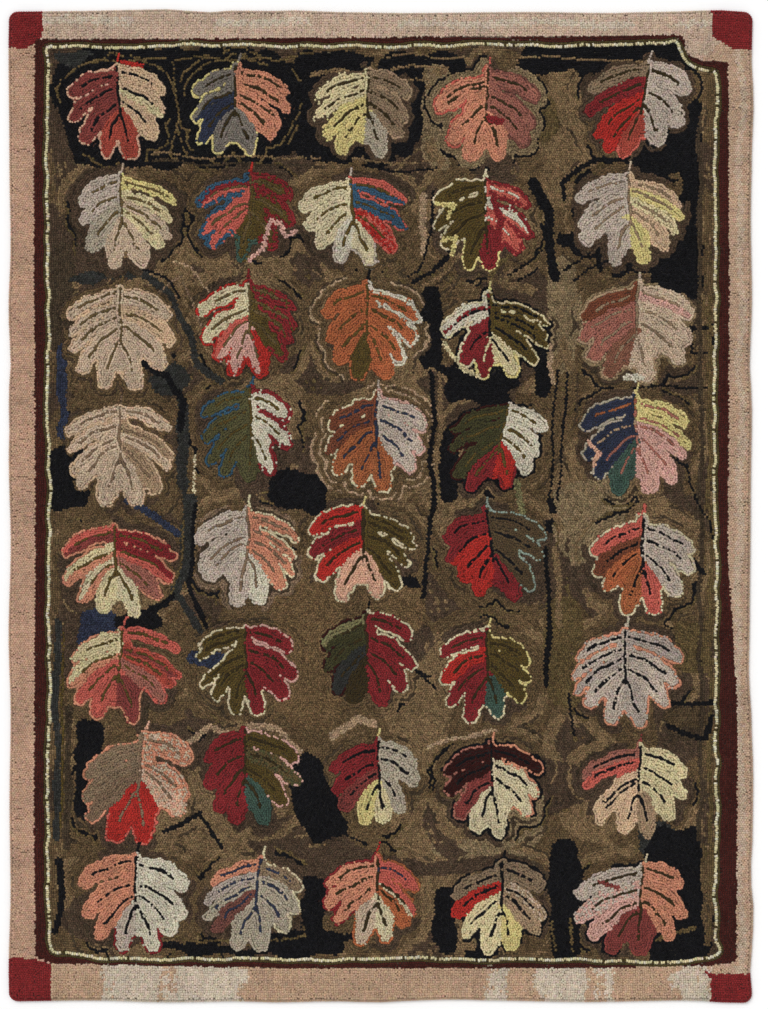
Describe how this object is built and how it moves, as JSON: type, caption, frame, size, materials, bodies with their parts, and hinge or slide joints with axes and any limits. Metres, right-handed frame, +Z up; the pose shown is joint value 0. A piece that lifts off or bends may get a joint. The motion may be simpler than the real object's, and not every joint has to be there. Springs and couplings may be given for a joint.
{
  "type": "hooked rug",
  "caption": "Rectangular hand-hooked wool rug lying flat, with a field of fanned leaves, a dark inner band and a hooked border with corner blocks.",
  "frame": {"origin": "middle of the underside, where the rug lies on the floor", "axes": "+X across the rug, +Y along its length towards the leaves' stems, +Z up out of the pile"},
  "size_m": [1.0736, 1.4316, 0.0088],
  "materials": {
    "hooked_wool": "matt looped wool pile, olive brown ground with leaves in red, salmon, olive, cream and grey",
    "border_yarn": "matt looped pile in faded salmon and beige",
    "burlap": "plain woven jute foundation"
  },
  "bodies": {
    "root": {"rug": "hooked_wool"}
  },
  "joints": []
}
